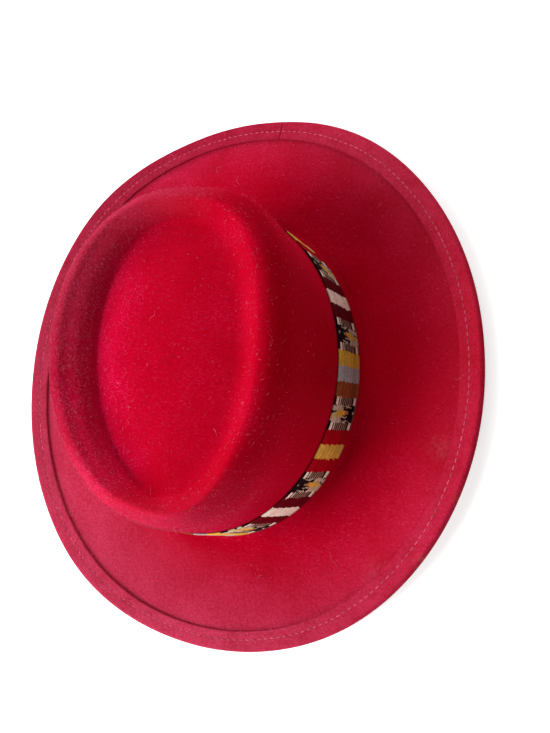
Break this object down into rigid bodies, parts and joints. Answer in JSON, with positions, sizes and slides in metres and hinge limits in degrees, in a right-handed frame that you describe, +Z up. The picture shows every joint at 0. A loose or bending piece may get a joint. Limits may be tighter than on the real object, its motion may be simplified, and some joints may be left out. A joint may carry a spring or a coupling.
{
  "type": "fedora hat",
  "caption": "Felt fedora with a telescope crown, an oval dent in its top, a wide brim with a stitched bound edge, and a woven striped ribbon band.",
  "frame": {"origin": "on the floor under the middle of the hat's outline", "axes": "+Z up, -Y towards the front of the hat, +X towards the wearer's left"},
  "size_m": [0.3254, 0.35, 0.098],
  "materials": {
    "red_felt": "fuzzy wool felt, matt with a pale sheen at grazing angles",
    "binding_felt": "wool felt strip, stitched along its length",
    "woven_ribbon": "woven ribbon with stripes and stepped motifs across it"
  },
  "bodies": {
    "root": {"felt_body": "red_felt", "edge_binding": "binding_felt", "hat_band": "woven_ribbon"}
  },
  "joints": []
}
